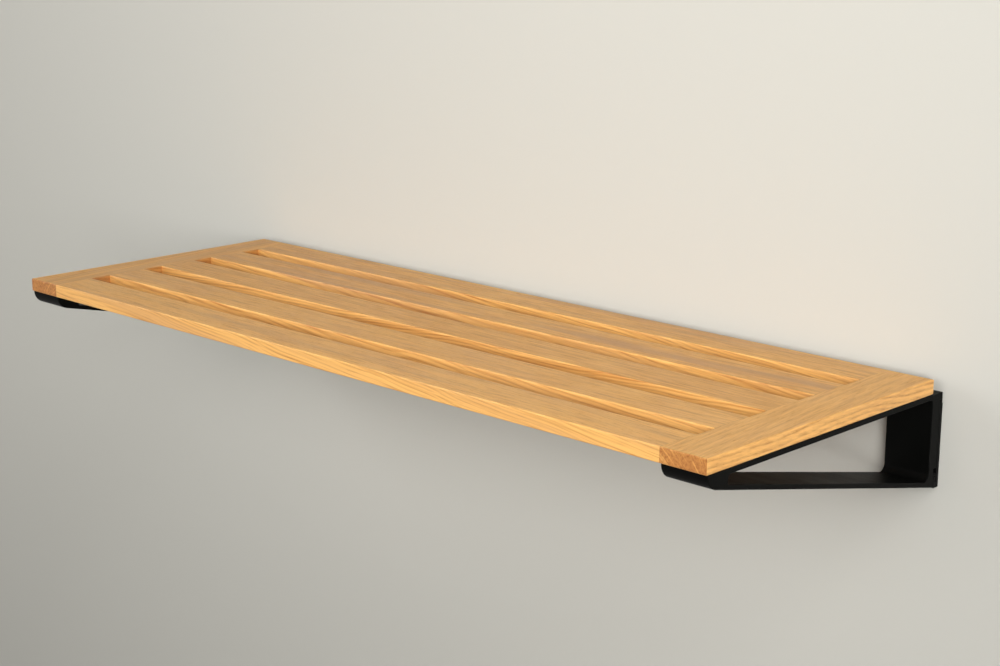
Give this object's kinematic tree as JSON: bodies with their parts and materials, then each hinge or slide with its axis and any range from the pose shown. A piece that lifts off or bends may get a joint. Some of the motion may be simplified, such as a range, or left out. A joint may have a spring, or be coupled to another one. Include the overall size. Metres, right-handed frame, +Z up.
{
  "type": "wall-mounted shoe shelf",
  "caption": "Wall shelf for shoes: a slatted oak top with end rails on open triangular black brackets that hook onto wall plates.",
  "frame": {"origin": "on the wall, in the middle of the four screw holes of the two wall plates", "axes": "+X along the shelf to the right as seen from the room, +Y into the wall, +Z up; the wall is the plane y = 0"},
  "size_m": [0.8, 0.295, 0.089],
  "materials": {
    "oak": "clear-oiled solid oak, fine satin",
    "beech": "plain planed beech",
    "black_bracket": "black anodised, satin",
    "black_plate": "black anodised, satin",
    "black_screw": "black oxide"
  },
  "bodies": {
    "root": {"end_rail_left": "oak", "end_rail_right": "oak", "front_slat": "oak", "middle_slat_1": "oak", "middle_slat_2": "oak", "middle_slat_3": "oak", "back_slat": "oak", "tenons_left": "beech", "bracket_left": "black_bracket", "wall_plate_left": "black_plate", "bracket_screws_left": "black_screw", "tenons_right": "beech", "bracket_right": "black_bracket", "wall_plate_right": "black_plate", "bracket_screws_right": "black_screw"}
  },
  "joints": []
}
